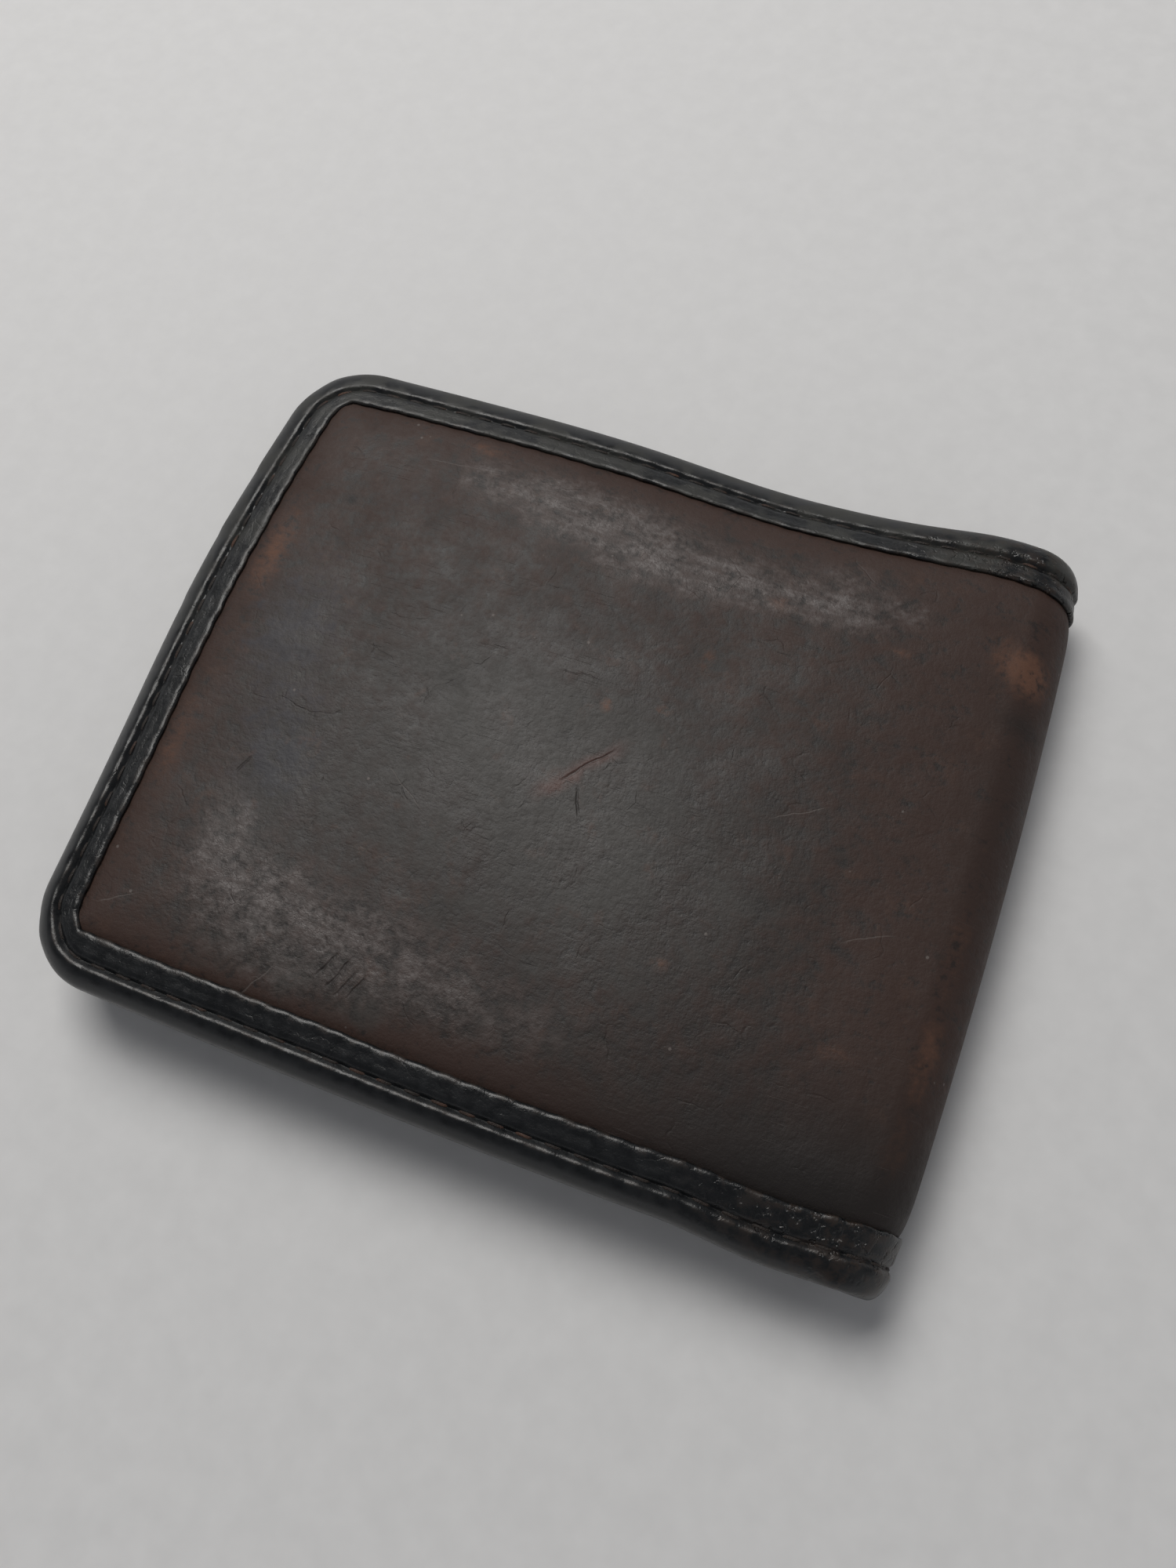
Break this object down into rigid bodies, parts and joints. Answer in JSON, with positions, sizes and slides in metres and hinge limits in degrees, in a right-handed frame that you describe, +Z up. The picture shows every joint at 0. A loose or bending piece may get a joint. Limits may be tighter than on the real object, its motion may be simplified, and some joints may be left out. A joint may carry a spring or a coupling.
{
  "type": "bifold wallet",
  "caption": "Closed leather bifold wallet, folded at one side, with bound and stitched edges, a note compartment and stepped card pockets.",
  "frame": {"origin": "on the table, under the middle of the closed wallet, which lies on its back cover", "axes": "+X from the open edge to the fold, +Y from the bottom edge to the mouth of the note compartment, +Z up from the back cover to the front cover"},
  "size_m": [0.11, 0.092, 0.0132],
  "materials": {
    "cover_leather": "worn, waxed, dark brown",
    "binding_leather": "smooth, glossy, black",
    "pocket_leather": "smooth, dark brown",
    "lining_cloth": "plain weave, dark",
    "thread": "waxed twisted thread, faded red-brown"
  },
  "bodies": {
    "back_half": {"cover_back": "cover_leather", "lining_back": "lining_cloth", "inner_wall_back": "pocket_leather", "card_pocket_high_back": "pocket_leather", "card_pocket_middle_back": "pocket_leather", "card_pocket_low_back": "pocket_leather", "binding_back": "binding_leather", "edge_stitches_back": "thread", "pocket_stitches_back": "thread"},
    "fold_strip_1": {"cover_fold_1": "cover_leather", "lining_fold_1": "lining_cloth", "inner_wall_fold_1": "pocket_leather", "binding_bottom_fold_1": "binding_leather", "binding_top_fold_1": "binding_leather", "edge_stitches_fold_1": "thread"},
    "fold_strip_2": {"cover_fold_2": "cover_leather", "lining_fold_2": "lining_cloth", "inner_wall_fold_2": "pocket_leather", "binding_bottom_fold_2": "binding_leather", "binding_top_fold_2": "binding_leather", "edge_stitches_fold_2": "thread"},
    "front_half": {"cover_front": "cover_leather", "lining_front": "lining_cloth", "inner_wall_front": "pocket_leather", "card_pocket_high_front": "pocket_leather", "card_pocket_middle_front": "pocket_leather", "card_pocket_low_front": "pocket_leather", "binding_front": "binding_leather", "edge_stitches_front": "thread", "pocket_stitches_front": "thread"}
  },
  "joints": [
    {"name": "fold_1", "type": "hinge", "parent": "back_half", "child": "fold_strip_1", "pos_m": [0.0517, 0, 0.00088], "axis": [0, 1, 0], "range_deg": [0, 60]},
    {"name": "fold_2", "type": "hinge", "parent": "fold_strip_1", "child": "fold_strip_2", "pos_m": [0.055, 0, 0.0066], "axis": [0, 1, 0], "range_deg": [0, 60]},
    {"name": "fold_3", "type": "hinge", "parent": "fold_strip_2", "child": "front_half", "pos_m": [0.0517, 0, 0.01232], "axis": [0, 1, 0], "range_deg": [0, 60]}
  ],
  "couplings": [
    {"joint": "fold_2", "follows": "fold_1", "ratio": 1},
    {"joint": "fold_3", "follows": "fold_1", "ratio": 1}
  ]
}
